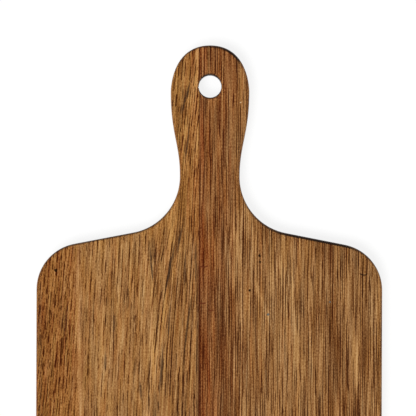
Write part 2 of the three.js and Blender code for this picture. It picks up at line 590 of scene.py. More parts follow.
def shade(red, green, blue):
    """A colour as an image editor shows it, 0 to 255, turned into the linear values that Blender mixes."""
    colour = Color((red, green, blue)) / 255
    return (*colour.from_srgb_to_scene_linear(), 1.0)


def ramp_through(tree, value, stops):
    """A colour ramp through a list of places, from 0 to 1, and colours."""
    ramp = add_node(tree, "ShaderNodeValToRGB", {"Fac": value})
    elements = ramp.color_ramp.elements
    while len(elements) < len(stops):
        elements.new(0.5)
    for element, (position, colour) in zip(elements, stops):
        element.position = position
        element.color = colour
    return ramp.outputs["Color"]


def tone_ramp(tree, value, tones):
    """A ramp through evenly spaced tones, from darkest to lightest."""
    step = 1 / (len(tones) - 1)
    return ramp_through(tree, value, [(index * step, shade(*tone)) for index, tone in enumerate(tones)])


def make_tone_group():
    """The wood's colour for a tone from 0 to 1, with a share of red and a share of grey."""
    tree, given, made = new_group("wood_tones", {"Tone": 0.5, "Red": 0.0, "Grey": 0.0}, {"Color": "Color"})
    golden = tone_ramp(tree, given["Tone"], GOLDEN_TONES)
    red = tone_ramp(tree, given["Tone"], RED_TONES)
    grey = tone_ramp(tree, given["Tone"], GREY_TONES)
    colour = mix_colour(tree, given["Red"], golden, red)
    colour = mix_colour(tree, given["Grey"], colour, grey)
    tree.links.new(colour, made["Color"])
    return tree


tone_group = make_tone_group()
print(tone_group.name, len(tone_group.nodes), "nodes")

# %% [markdown]
# Across each plank the tone goes through broad bands that come from the years of growth. They are written
# as a short list of places and levels, left to right in millimetres from the board's centre line, and a
# second list says how red each stretch is. A ramp through such a list is easier to adjust than noise,
# which puts its bands where it likes.

# %% Bands across the left plank
LEFT_BANDS = [
    (-110, 0.40), (-103, 0.38), (-95, 0.41), (-91, 0.46), (-86.5, 0.48), (-84, 0.51), (-81, 0.50),
    (-78.5, 0.48), (-74, 0.53), (-69, 0.61), (-64, 0.56), (-60, 0.50), (-56, 0.56), (-50, 0.53),
    (-45, 0.52), (-40, 0.59), (-36, 0.64), (-33, 0.52), (-27, 0.48), (-21, 0.45), (-15, 0.42),
    (-11, 0.50), (-7, 0.49),
]
LEFT_RED = [(-110, 0.2), (-92, 0.2), (-84, 0.33), (-78, 0.16), (-13, 0.16), (-9, 0.4), (-7, 0.5)]


def band_ramp(tree, across, bands):
    """A value that follows a list of places and levels across the board."""
    first, last = bands[0][0], bands[-1][0]
    share = add_node(tree, "ShaderNodeMapRange", {"Value": across, "From Min": first, "From Max": last})
    stops = [((place - first) / (last - first), (level, level, level, 1)) for place, level in bands]
    return ramp_through(tree, share.outputs["Result"], stops)


print("left plank:", len(LEFT_BANDS), "bands of tone and", len(LEFT_RED), "of red")

# %% Bands across the right plank and its half of the handle
RIGHT_BANDS = [
    (-6.6, 0.18), (-5, 0.27), (-3, 0.33), (0, 0.38), (6, 0.27), (9, 0.25), (12, 0.31), (16, 0.34),
    (21, 0.51), (25, 0.46), (28, 0.48), (30, 0.42), (36, 0.50), (45, 0.52), (54, 0.58), (60, 0.47),
    (66, 0.45), (69, 0.40), (73, 0.48), (78, 0.30), (84, 0.36), (90, 0.51), (95, 0.45), (99, 0.36),
    (104, 0.45), (110, 0.45),
]
RIGHT_RED = [
    (-6.6, 0.88), (0, 0.78), (6, 0.64), (12, 0.55), (20, 0.32), (60, 0.16), (72, 0.26), (82, 0.3),
    (98, 0.2), (110, 0.1),
]
HANDLE_BANDS = [
    (-6.6, 0.34), (-4.8, 0.40), (-3.3, 0.34), (-2, 0.41), (0, 0.39), (3, 0.35), (6, 0.37), (9.5, 0.33),
    (12, 0.41), (14, 0.40), (16, 0.36), (18, 0.44), (21, 0.46), (25, 0.43),
]
HANDLE_RED = [(-6.6, 0.9), (-3.3, 0.75), (-1, 0.5), (8, 0.6), (13, 0.6), (18, 0.3), (25, 0.2)]
print("right plank:", len(RIGHT_BANDS), "bands on the blade and", len(HANDLE_BANDS), "on the handle")

# %% [markdown]
# Some streaks are too clear to be left to chance: the pale stripe down the left plank, the olive ones
# that lean in beside the joint, the dark ones in the right plank. Each is listed one by one, with its
# middle, its half length and half width in millimetres, its slant, and how much lighter or darker than
# its surroundings it is. The finest layer of grain frays its edges, so that no streak ends like a brush
# stroke. Drawing them as thin meshes would give edges too clean for wood, and faces that flicker.

# %% One streak
STREAK_FADE = (1.3, 0.3)


def make_streak_group():
    """1 along the middle of a pointed streak, fading to 0 at its sides and ends."""
    sizes = {"X": 0.0, "Y": 0.0, "Half Length": 20.0, "Half Width": 1.0, "Slant": 0.0, "Fray": 0.0}
    tree, given, made = new_group("single_streak", {"Place": None, **sizes}, {"Streak": "Float"})
    axes = axes_of(tree, given["Place"])
    along = calc(tree, "SUBTRACT", axes["Y"], given["Y"])
    middle = calc(tree, "MULTIPLY_ADD", along, given["Slant"], given["X"])
    beside = calc(tree, "ABSOLUTE", calc(tree, "SUBTRACT", axes["X"], middle))
    beside = calc(tree, "DIVIDE", beside, given["Half Width"])
    along = calc(tree, "DIVIDE", calc(tree, "ABSOLUTE", along), given["Half Length"])
    reach = calc(tree, "ADD", calc(tree, "POWER", along, 2), beside)
    reach = calc(tree, "SUBTRACT", reach, given["Fray"])
    tree.links.new(soft_step(tree, reach, *STREAK_FADE), made["Streak"])
    return tree


def add_streaks(wood, tone, fray, streaks):
    """Lightens or darkens the tone with each streak in a list."""
    for *sizes, change in streaks:
        streak = use_group(wood.tree, streak_group, wood.place, *sizes, Fray=fray)["Streak"]
        tone = blend_in(wood.tree, tone, (streak, change))
    return tone


streak_group = make_streak_group()
print(streak_group.name, len(streak_group.nodes), "nodes")

# %% Streaks of the left plank
PALE_STRIPE = {"X": -82.4, "Y": 20, "Half_Length": 75, "Half_Width": 1.6, "Slant": -0.027}
# x, y, half length, half width, slant, how much lighter or darker
LEFT_STREAKS = [
    # dark, on the blade
    (-19.3, 95, 10, 0.7, 0.19, -0.32),
    (-35.5, 89, 10, 3.0, -0.1, -0.14),
    (-37, 81, 10, 0.7, -0.08, -0.25),
    (-8.6, 80, 18, 0.9, 0.0, -0.25),
    (-15.5, 78, 14, 0.5, 0.045, -0.28),
    (-25.4, 76.5, 18, 0.6, 0.18, -0.42),
    (-36.5, 76, 7, 0.6, -0.1, -0.28),
    (-51.9, 58, 8, 1.4, 0.0, -0.12),
    (-91.5, 45, 10, 2.0, 0.1, -0.15),
    (-29.7, 45, 30, 0.7, 0.0, -0.12),
    (-60.2, 44, 7, 0.8, 0.03, -0.22),
    (-25.6, 43.6, 11, 0.6, 0.03, -0.42),
    (-14.1, 39.7, 19, 0.8, 0.13, -0.34),
    (-107.3, 30, 60, 1.2, 0.0, -0.11),
    (-7.6, 25, 75, 1.0, 0.0, -0.18),
    (-66, 19, 6, 0.8, 0.05, -0.25),
    (-30.4, 12.7, 20, 0.7, 0.075, -0.36),
    (-43.5, 0, 7, 1.0, -0.1, -0.25),
    (-35, -9, 10, 4.5, 0.0, -0.13),
    # pale, on the blade
    (-24, 107, 15, 3.5, 0.1, 0.12),
    (-26, 92, 12, 3.0, 0.2, 0.12),
    (-99, 88, 7, 5.0, 0.0, 0.1),
    (-21.5, 80, 16, 1.5, 0.18, 0.15),
    (-72, 68, 10, 4.0, 0.0, 0.1),
    (-59, 61, 9, 4.0, 0.0, 0.09),
    (-27, 54, 18, 3.0, 0.08, 0.15),
    (-30, 40, 14, 3.0, 0.05, 0.12),
    (-95.5, 34, 7, 2.5, 0.0, 0.12),
    (-9.2, 22, 36, 0.9, 0.0, 0.08),
    (-35, 19, 14, 3.5, 0.05, 0.2),
    # on the handle
    (-20, 196, 16, 2.0, -0.05, 0.18),
    (-15.3, 187, 11, 1.1, 0.28, -0.32),
    (-11.9, 180, 40, 0.8, 0.0, 0.16),
    (-15.5, 169, 8, 3.0, 0.0, 0.1),
    (-18.2, 163, 10, 0.8, 0.0, 0.2),
    (-8.4, 160, 60, 0.8, 0.012, 0.18),
    (-14.4, 157, 11, 1.0, 0.14, -0.32),
    (-12.5, 128, 12, 2.0, 0.1, 0.12),
]
print("left plank:", len(LEFT_STREAKS), "streaks")

# %% Streaks of the right plank
RIGHT_STREAKS = [
    # dark, on the blade
    (78, 88, 9, 2.5, 0.0, -0.12),
    (1.0, 70, 26, 3.0, 0.0, -0.06),
    (46, 61, 6, 2.2, 0.0, -0.12),
    (101.7, 61, 12, 2.0, 0.0, -0.12),
    (84.5, 53, 11, 2.5, 0.0, -0.12),
    (80, 50, 50, 1.0, 0.0, -0.18),
    (12.7, 44, 20, 1.0, 0.0, -0.12),
    (-3, 40, 60, 0.8, 0.0, -0.1),
    (8, 35, 30, 1.2, 0.0, -0.14),
    (-5.4, 30, 60, 0.8, 0.0, -0.12),
    (30, 30, 20, 1.0, -0.05, -0.15),
    (39, 30, 50, 0.8, 0.0, -0.15),
    (76.5, 30, 60, 1.4, 0.0, -0.14),
    (55, 27, 9, 2.5, 0.0, -0.1),
    (99.4, 25, 60, 1.3, 0.0, -0.22),
    (23.8, 12, 40, 0.9, 0.0, -0.14),
    (-6.2, 5, 45, 1.0, 0.0, -0.12),
    (78, -10, 14, 3.0, 0.0, -0.14),
    # pale, on the blade
    (9.5, 110, 12, 2.5, 0.0, 0.15),
    (23.5, 108, 14, 3.0, -0.05, 0.2),
    (17, 106, 12, 4.5, 0.0, 0.22),
    (15.5, 86, 24, 4.5, 0.0, 0.22),
    (7, 84, 30, 4.0, 0.0, 0.12),
    (72, 78, 11, 2.0, 0.0, 0.12),
    (45.5, 74, 12, 3.5, 0.0, 0.16),
    (29.5, 70, 10, 2.0, 0.0, 0.14),
    (55, 70, 12, 3.0, 0.0, 0.12),
    (58.1, 66, 18, 0.9, 0.0, 0.16),
    (74, 63, 12, 2.0, 0.0, 0.12),
    (34, 56, 16, 2.0, -0.35, 0.2),
    (72.1, 55, 35, 0.9, 0.0, 0.15),
    (40, 46, 11, 2.5, -0.1, 0.12),
    (12.6, 45, 22, 2.5, 0.0, 0.1),
    (48, 40, 40, 0.8, 0.0, 0.13),
    (64.5, 35, 45, 0.9, 0.0, 0.13),
    (102.8, 30, 60, 1.0, 0.0, 0.13),
    (95.1, 25, 60, 0.8, 0.0, 0.2),
    (93, 23, 16, 2.0, 0.0, 0.12),
    (105.5, 20, 45, 1.6, 0.0, 0.12),
    (91, 18, 30, 3.0, 0.0, 0.1),
    (16.1, 15, 50, 0.8, 0.0, 0.1),
    # on the handle
    (-5.9, 211, 12, 0.9, 0.0, -0.16),
    (9, 195, 8, 2.0, 0.0, -0.1),
    (-2, 180, 10, 2.0, 0.0, -0.1),
    (17.5, 138, 14, 2.5, 0.0, -0.14),
]
print("right plank:", len(RIGHT_STREAKS), "streaks")

# %% [markdown]
# The last marks are the ones that make this a board and not a pattern: the black walls of the pin knots,
# two specks of grit pressed into the face, a fleck of bare wood on the handle, and short curved lines
# where the grain tore or the root of a branch came close. A spot is a distance from a point, and a curved
# line is a distance from a circle. Both stop a little below the face, so that they don't go on to the
# underside.

# %% Spots
SKIN = (-2.5, -1.5)
SPOT_EDGE = (1.3, 0.8)


def top_skin(tree, depth):
    """1 at the top face and in its pits, 0 further down."""
    return soft_step(tree, depth, *SKIN)


def distance_from(tree, x, y):
    """How far away a point is that lies x and y from here."""
    return calc(tree, "SQRT", calc(tree, "MULTIPLY_ADD", x, x, calc(tree, "MULTIPLY", y, y)))


def make_spot_group():
    """1 inside a small round spot on the top face."""
    sizes = {"X": 0.0, "Y": 0.0, "Radius": 0.6}
    tree, given, made = new_group("spot", {"Place": None, **sizes}, {"Mark": "Float"})
    axes = axes_of(tree, given["Place"])
    x = calc(tree, "SUBTRACT", axes["X"], given["X"])
    y = calc(tree, "SUBTRACT", axes["Y"], given["Y"])
    reach = calc(tree, "DIVIDE", distance_from(tree, x, y), given["Radius"])
    spot = soft_step(tree, reach, *SPOT_EDGE)
    tree.links.new(calc(tree, "MULTIPLY", spot, top_skin(tree, axes["Z"])), made["Mark"])
    return tree


spot_group = make_spot_group()
print(spot_group.name, len(spot_group.nodes), "nodes")

# %% Curved lines
LINE_EDGE = (1.0, 0.3)
LINE_ENDS = (1.0, 0.6)


def make_curve_group():
    """1 on the lowest stretch of a circle, as on a hanging thread."""
    sizes = {"X": 0.0, "Y": 0.0, "Radius": 4.0, "Half Width": 2.0, "Line": 0.4}
    tree, given, made = new_group("curved_line", {"Place": None, **sizes}, {"Mark": "Float"})
    axes = axes_of(tree, given["Place"])
    x = calc(tree, "SUBTRACT", axes["X"], given["X"])
    y = calc(tree, "SUBTRACT", calc(tree, "SUBTRACT", axes["Y"], given["Y"]), given["Radius"])
    off = calc(tree, "ABSOLUTE", calc(tree, "SUBTRACT", distance_from(tree, x, y), given["Radius"]))
    line = soft_step(tree, calc(tree, "DIVIDE", off, given["Line"]), *LINE_EDGE)
    beside = calc(tree, "DIVIDE", calc(tree, "ABSOLUTE", x), given["Half Width"])
    line = calc(tree, "MULTIPLY", line, soft_step(tree, beside, *LINE_ENDS))
    line = calc(tree, "MULTIPLY", line, calc(tree, "LESS_THAN", y, 0.0))
    tree.links.new(calc(tree, "MULTIPLY", line, top_skin(tree, axes["Z"])), made["Mark"])
    return tree


curve_group = make_curve_group()
print(curve_group.name, len(curve_group.nodes), "nodes")

# %% Places and paints of the marks
# Near black: the pin knots, the crack and dark end grain, and the painted shade in the hole and along the
# edges.
CHAR_AND_SHADE = shade(30, 16, 8)
GRIT = shade(66, 92, 98)
BARE_WOOD = shade(214, 184, 142)
DARK_RED = shade(96, 42, 18)
# x, y and radius of the spots; x and y of the lowest point, radius, half width and thickness of the lines
GRIT_SPECKS = [(37.4, 48.9, 0.75), (76.7, 57.0, 0.5)]
BARE_FLECKS = [(19.5, 183.7, 0.4)]
CRACKS = [(98.1, 74.2, 4.0, 3.0, 0.6)]
RED_LINES = [(-3.6, 79.0, 7, 3.2, 0.7), (-4.3, 55.8, 6, 2.6, 0.7), (1.1, 51.2, 6, 2.0, 0.6)]
# kind of mark, places, paint, and how far it covers the wood
LEFT_MARKS = [(spot_group, LEFT_KNOTS, CHAR_AND_SHADE, 0.9)]
RIGHT_MARKS = [
    (spot_group, RIGHT_KNOTS, CHAR_AND_SHADE, 0.75),
    (spot_group, GRIT_SPECKS, GRIT, 0.8),
    (spot_group, BARE_FLECKS, BARE_WOOD, 0.9),
    (curve_group, CRACKS, CHAR_AND_SHADE, 0.85),
    (curve_group, RED_LINES, DARK_RED, 0.85),
]


def paint_marks(wood, colour, marks):
    """Paints marks over the colour, kind after kind."""
    for group, places, paint, cover in marks:
        for sizes in places:
            mask = use_group(wood.tree, group, wood.place, *sizes)["Mark"]
            colour = mix_colour(wood.tree, calc(wood.tree, "MULTIPLY", mask, cover), colour, paint)
    return colour


print("kinds of marks:", len(LEFT_MARKS), "on the left plank,", len(RIGHT_MARKS), "on the right plank")

# %% [markdown]
# End grain drinks more oil than the faces, so the board's ends are darker, and the rim and wall of the
# hole are darkened as painted shade. Both follow from which way the surface faces or how far away the
# hole is, so the masks come from the normal and the place. Painting them on by hand would be work to do
# again with every change of outline.

# %% Which way the surface faces, and painted shade in the hole
END_FACING = (0.12, 0.6)
SIDE_FACING = (0.3, 0.8)
# Reach of the painted shade round the hole, in millimetres beyond its wall.
HOLE_SHADE_WIDTH, HOLE_SHADE_CORE = 0.7, 0.1


def beyond_hole(tree, place):
    """How far a place lies outside the wall of the hole, in millimetres."""
    reach = distance_from(tree, place["X"], calc(tree, "SUBTRACT", place["Y"], HOLE_Y))
    return calc(tree, "DIVIDE", calc(tree, "SUBTRACT", reach, HOLE_RADIUS), MM)


def make_face_group():
    """Masks for end grain, for walls along the grain and for painted shade in the hole's rim and wall."""
    marks = {"End": "Float", "Side": "Float", "Hole Shade": "Float"}
    tree, given, made = new_group("faces_and_hole", {"Hole Shade Width": HOLE_SHADE_WIDTH}, marks)
    coordinates = tree.nodes.new("ShaderNodeTexCoord").outputs
    facing = axes_of(tree, coordinates["Normal"])
    beyond = beyond_hole(tree, axes_of(tree, coordinates["Object"]))
    tree.links.new(soft_step(tree, calc(tree, "ABSOLUTE", facing["Y"]), *END_FACING), made["End"])
    tree.links.new(soft_step(tree, calc(tree, "ABSOLUTE", facing["X"]), *SIDE_FACING), made["Side"])
    # Painted shade: the wall of the hole and a thin ring round its rim.
    tree.links.new(soft_step(tree, beyond, given["Hole Shade Width"], HOLE_SHADE_CORE), made["Hole Shade"])
    return tree


face_group = make_face_group()
print(face_group.name, len(face_group.nodes), "nodes")

# %% [markdown]
# Along the round edges that face the tip the colour is darkened as painted shade: a faint line all
# along them, and a broad black one on the right shoulder and on the right of the tip, the edges that face
# away from the lamp. The mask is a product of soft steps, one for each condition: on the round edge,
# facing the tip, turned far enough from level, and clear of the hole.

# %% Painted shade along the edges
ROUND_FACING = (0.1, 0.5)
TIP_FACING = (0.4, 0.65)
EDGE_SHADE_REACH = (0.1, 0.4)
SHOULDER_FROM, SHOULDER_TO = (24 * MM, 52 * MM), (99 * MM, 87 * MM)
TIP_FROM, TIP_ABOVE = (-14 * MM, 14 * MM), (150 * MM, 180 * MM)
FAINT_EDGE_SHADE, EDGE_SHADE_WIDENING = 0.35, 2.5
OFF_THE_HOLE = (1.6, 3)
LEVEL_TURN = 0.001


def make_edge_shade_group():
    """Mask of painted shade on the round edge, wide and full on the right shoulder and right of the tip."""
    sizes = {"Faint Edge Shade": FAINT_EDGE_SHADE, "Edge Shade Widening": EDGE_SHADE_WIDENING}
    tree, given, made = new_group("painted_edge_shade", sizes, {"Edge Shade": "Float"})
    coordinates = tree.nodes.new("ShaderNodeTexCoord").outputs
    facing = axes_of(tree, coordinates["Normal"])
    place = axes_of(tree, coordinates["Object"])
    on_shoulder = soft_step(tree, place["X"], *SHOULDER_FROM)
    on_shoulder = calc(tree, "MULTIPLY", on_shoulder, soft_step(tree, place["X"], *SHOULDER_TO))
    on_tip = soft_step(tree, place["X"], *TIP_FROM)
    # Painted shade: the broad dark band lies on the right shoulder and the right of the tip, which face
    # away from the lamp.
    broad_shade = mix_value(tree, soft_step(tree, place["Y"], *TIP_ABOVE), on_shoulder, on_tip)
    turned = distance_from(tree, facing["X"], facing["Y"])
    to_tip = calc(tree, "DIVIDE", facing["Y"], calc(tree, "MAXIMUM", turned, LEVEL_TURN))
    widened = calc(tree, "MULTIPLY", turned, calc(tree, "MULTIPLY_ADD", broad_shade, given["Edge Shade Widening"], 1))
    edge_shade = mix_value(tree, broad_shade, given["Faint Edge Shade"], 1.0)
    for mask in (
        soft_step(tree, calc(tree, "ABSOLUTE", facing["Z"]), *ROUND_FACING),
        soft_step(tree, to_tip, *TIP_FACING),
        soft_step(tree, widened, *EDGE_SHADE_REACH),
        soft_step(tree, beyond_hole(tree, place), *OFF_THE_HOLE),
    ):
        edge_shade = calc(tree, "MULTIPLY", edge_shade, mask)
    tree.links.new(edge_shade, made["Edge Shade"])
    return tree


edge_shade_group = make_edge_shade_group()
print(edge_shade_group.name, len(edge_shade_group.nodes), "nodes")

# %% [markdown]
# Both planks were sanded, oiled and buffed together, so they share one finish. It is satin: a little
# rougher in the open pores and on end grain, with the pores sunk and the fibres raised by a few
# hundredths of a millimetre. Relief as fine as that would need millions of faces, so a Bump node makes
# it. Oil in the grain mirrors less than varnish on top of it, so the shader's specular level is low.

# %% Start of a wood, and its layers
WALL_ROWS = 0.6


def new_material(name):
    """A new material, with its tree and its shader."""
    material = bpy.data.materials.new(name)
    material.use_nodes = True
    tree = material.node_tree
    return material, tree, tree.nodes["Principled BSDF"]


def start_wood(name, lean):
    """A new material with the place in the plank and the masks for its faces, ready to be built on."""
    material, tree, shader = new_material(name)
    place = use_group(tree, place_group, lean)["Place"]
    axes = axes_of(tree, place)
    # Each wood also carries the mask of painted shade along its round edges.
    return SimpleNamespace(
        material=material, tree=tree, shader=shader, place=place, x=axes["X"], y=axes["Y"], z=axes["Z"],
        faces=use_group(tree, face_group), edge_shade=use_group(tree, edge_shade_group)["Edge Shade"])


def grain(wood, **values):
    """A layer of drawn-out grain, from -1 to 1."""
    return use_group(wood.tree, grain_group, wood.place, **values)["Swing"]


def pores(wood, place, **values):
    """Rows of pores, 1 in a row and 0 beside it, at the wood's own place or at a bent one."""
    return use_group(wood.tree, pore_group, place, **values)["Row"]


def wall_rows(wood, rows, lean, shift):
    """Long fine rows on the walls, where the plank is cut along its grain, in place of the top's rows."""
    place = use_group(wood.tree, place_group, lean)["Place"]
    long_rows = pores(wood, place, Spacing=1.9, Break=45, Shift=shift)
    return mix_value(wood.tree, wood.faces["Side"], rows, calc(wood.tree, "MULTIPLY", long_rows, WALL_ROWS))


print("layers of a wood:", [layer.__name__ for layer in (grain, pores, wall_rows)])

# %% Finish of a wood
# How dark the ends go, and how strong the painted shade is in the hole and along the round edges.
END_DARK, HOLE_SHADE_DARK, EDGE_SHADE_DARK = 0.7, 0.25, 0.97
SATIN, PORE_ROUGH, END_ROUGH, FIBRE_ROUGH = 0.40, 0.1, 0.12, 0.06
RELIEF_DEPTH, RELIEF_STRENGTH, FIBRE_RELIEF = 0.1 * MM, 0.35, 0.35
OILED_SPECULAR = 0.25


def finish_wood(wood, colour):
    """Darkens the ends, paints shade in the hole and on the edges, and gives sheen and fine relief."""
    tree, shader, faces = wood.tree, wood.shader, wood.faces
    # Painted shade in the hole: its wall and rim go towards near black.
    hole_shade = calc(tree, "MULTIPLY", faces["Hole Shade"], HOLE_SHADE_DARK)
    dark = calc(tree, "MULTIPLY_ADD", faces["End"], END_DARK, hole_shade, clamp=True)
    # Painted shade: the round edges that face the tip go near black, most on the right shoulder and tip.
    dark = calc(tree, "MAXIMUM", dark, calc(tree, "MULTIPLY", wood.edge_shade, EDGE_SHADE_DARK))
    tree.links.new(mix_colour(tree, dark, colour, CHAR_AND_SHADE), shader.inputs["Base Color"])
    rough = blend_in(tree, SATIN, (wood.dark_rows, PORE_ROUGH), (faces["End"], END_ROUGH),
                     (wood.fibre, FIBRE_ROUGH))
    tree.links.new(rough, shader.inputs["Roughness"])
    relief = calc(tree, "SUBTRACT", calc(tree, "MULTIPLY", wood.fibre, FIBRE_RELIEF), wood.dark_rows)
    bump = add_node(tree, "ShaderNodeBump", {
        "Strength": RELIEF_STRENGTH, "Distance": RELIEF_DEPTH, "Height": relief})
    tree.links.new(bump.outputs["Normal"], shader.inputs["Normal"])
    shader.inputs["Specular IOR Level"].default_value = OILED_SPECULAR
    print(wood.material.name, len(tree.nodes), "nodes")


print("finish: roughness", SATIN, "and relief", round(RELIEF_DEPTH * RELIEF_STRENGTH / MM, 3), "mm")

# %% [markdown]
# The left plank is golden. Its grain changes from place to place: short slanted dashes at the far edge,
# fine broken lines in the middle, and beside the joint long olive lines that bend over towards the neck,
# the more the nearer they come to it. Masks say where each kind holds. Several materials could do the
# same, but then their borders would show, where real grain passes slowly from one kind to the next.

# %% Kinds of grain in the left plank
FAR_EDGE = (-78, -92)
NEAR_JOINT = (-50, -34)
HANDLE = (85, 115)
GRIP = (120, 150)
LEAN_FROM, LEAN_TO, LEAN_CURVE = -10, 90, 0.0009
LEAN_DIES_OUT, LEAN_AT_JOINT = (-28, -8), 0.35


def lean_in(wood):
    """The place across the grain where it bends over towards the neck, and runs on straight past it."""
    tree = wood.tree
    height = calc(tree, "MINIMUM", calc(tree, "MAXIMUM", wood.y, LEAN_FROM), LEAN_TO)
    height = calc(tree, "SUBTRACT", height, LEAN_FROM)
    bend = calc(tree, "MULTIPLY", calc(tree, "MULTIPLY", height, height), LEAN_CURVE)
    past_neck = calc(tree, "MAXIMUM", calc(tree, "SUBTRACT", wood.y, LEAN_TO), 0)
    bend = blend_in(tree, bend, (past_neck, 2 * LEAN_CURVE * (LEAN_TO - LEAN_FROM)))
    free = mix_value(tree, soft_step(tree, wood.x, *LEAN_DIES_OUT), 1.0, LEAN_AT_JOINT)
    return calc(tree, "SUBTRACT", wood.x, calc(tree, "MULTIPLY", bend, free))


left = start_wood("golden_acacia", lean=0.5)
tree = left.tree
leaning_x = lean_in(left)
leaning = add_node(tree, "ShaderNodeCombineXYZ", {"X": leaning_x, "Y": left.y, "Z": left.z}).outputs[0]
left.near_joint = soft_step(tree, leaning_x, *NEAR_JOINT)
left.far_edge = soft_step(tree, left.x, *FAR_EDGE)
left.handle = soft_step(tree, left.y, *HANDLE)
left.grip = soft_step(tree, left.y, *GRIP)
left.strong = calc(tree, "MAXIMUM", left.near_joint, left.handle)
left.stripe = use_group(tree, streak_group, left.place, **PALE_STRIPE)["Streak"]
print("masks of the left plank:", len(tree.nodes), "nodes")

# %% Rows of pores in the left plank
FEWER_ON_GRIP, FEWER_IN_STRIPE = 0.9, 0.1
FAINT_ROWS, STRONG_ROWS = 0.7, 1.08

rows = pores(left, left.place, Spacing=2.1, Width=0.15, Break=9, Slant=0.03, Shift=9.4, Gaps=0.4)
long_rows = pores(left, leaning, Spacing=2.6, Width=0.15, Break=52, Shift=3.3, Gaps=0.42)
dashes = pores(left, left.place, Spacing=1.7, Width=0.2, Break=5, Slant=0.12, Shift=8.1, Gaps=0.4)
grip_rows = pores(left, left.place, Spacing=1.7, Width=0.21, Break=8, Slant=0.1, Shift=7.3, Gaps=0.41)
rows = mix_value(tree, left.near_joint, rows, long_rows)
rows = mix_value(tree, left.far_edge, rows, dashes)
left.rows = mix_value(tree, left.grip, rows, grip_rows)

thin_rows = pores(left, left.place, Spacing=3.3, Width=0.1, Break=18, Slant=0.04, Shift=2.4)
thin_long_rows = pores(left, leaning, Spacing=1.7, Width=0.18, Break=13, Shift=6.3, Gaps=0.43)
thin_dashes = pores(left, left.place, Spacing=2.3, Width=0.22, Break=9, Slant=0.07, Shift=4.7, Gaps=0.42)
thin_rows = mix_value(tree, left.near_joint, thin_rows, thin_long_rows)
thin_rows = mix_value(tree, left.far_edge, thin_rows, thin_dashes)
thin_rows = calc(tree, "MULTIPLY", thin_rows, mix_value(tree, left.grip, 1.0, FEWER_ON_GRIP))

dark_rows = calc(tree, "MAXIMUM", left.rows, thin_rows)
dark_rows = calc(tree, "MULTIPLY", dark_rows, mix_value(tree, left.stripe, 1.0, FEWER_IN_STRIPE))
dark_rows = calc(tree, "MULTIPLY", dark_rows, mix_value(tree, left.strong, FAINT_ROWS, STRONG_ROWS))
left.dark_rows = wall_rows(left, dark_rows, lean=1.4, shift=1.7)
print("with its rows of pores:", len(tree.nodes), "nodes")

# %% Layers of the left plank
BAND_SWAY, BAND_SLANT, BAND_SHIFT = 3, 0.03, -1.0

sway = grain(left, Across=22, Along=70, Shift=3.1)
across = blend_in(tree, left.x, (sway, BAND_SWAY), (left.y, BAND_SLANT))
across = calc(tree, "ADD", across, BAND_SHIFT)
patch = grain(left, Across=8, Along=35, Slant=0.04, Shift=7.7)
streak = grain(left, Across=2.0, Along=45, Slant=0.05, Shift=1.3)
left.fibre = grain(left, Across=0.75, Along=25, Detail=2, Slant=0.04, Shift=5.9)
speckle = grain(left, Across=0.6, Along=1.2, Shift=4.2)
pale_rows = pores(left, left.place, Spacing=2.5, Width=0.15, Break=25, Slant=0.04, Shift=5.2)
hue = grain(left, Across=1.4, Along=35, Detail=1, Slant=0.04, Shift=8.8)
mottle = grain(left, Across=3, Along=28, Slant=0.05, Shift=6.6)
print("with its layers:", len(tree.nodes), "nodes")

# %% [markdown]
# The tone is one number, from the darkest brown at 0 to the palest at 1. It starts from the bands, and
# each layer adds its share of light or dark. The shares stand together in one place, because tuning a
# wood means trying them against each other again and again.

# %% Tone of the left plank
LEFT_TONE = SimpleNamespace(
    patch=0.06, handle_patch=0.12, streak=0.17, strong_streak=0.27, near_joint=0.02, fibre=0.4,
    grip_fibre=0.5, speckle=0.3, dark_rows=-0.88, pale_rows=0.26, stripe=0.17, grip=-0.015, all_over=0.1)
FIBRE_FRAY, ROW_FRAY = 1.2, 0.4

tone = blend_in(
    tree, band_ramp(tree, across, LEFT_BANDS),
    (patch, mix_value(tree, left.handle, LEFT_TONE.patch, LEFT_TONE.handle_patch)),
    (streak, mix_value(tree, left.strong, LEFT_TONE.streak, LEFT_TONE.strong_streak)),
    (left.near_joint, LEFT_TONE.near_joint),
    (left.fibre, mix_value(tree, left.grip, LEFT_TONE.fibre, LEFT_TONE.grip_fibre)),
    (speckle, LEFT_TONE.speckle),
    (left.dark_rows, LEFT_TONE.dark_rows),
    (pale_rows, LEFT_TONE.pale_rows),
    (left.stripe, LEFT_TONE.stripe),
    (left.grip, LEFT_TONE.grip),
)
plain_tone = calc(tree, "ADD", tone, LEFT_TONE.all_over)
fray = blend_in(tree, calc(tree, "MULTIPLY", left.rows, ROW_FRAY), (left.fibre, FIBRE_FRAY))
left.tone = add_streaks(left, plain_tone, fray, LEFT_STREAKS)
left.olive = calc(tree, "SUBTRACT", plain_tone, left.tone)
print("with its tone:", len(tree.nodes), "nodes")

# %% [markdown]
# The colour looks that tone up in the three families. How red it is follows the second list of bands, and
# how grey it is changes in patches. Dark streaks beside the joint are olive on the real wood, which no
# family holds, so they get a paint of their own, as strong as the streak is dark.

# %% Colour of the left plank
OLIVE = shade(74, 59, 41)
OLIVE_COVER = 1.3
LEFT_COLOUR = SimpleNamespace(
    hue=0.8, far_edge=0.07, handle=-0.1, stripe=0.23,
    plain_grey=0.38, rich_grey=0.0, mottle=0.5, olive=1.5, grey_rows=0.25)

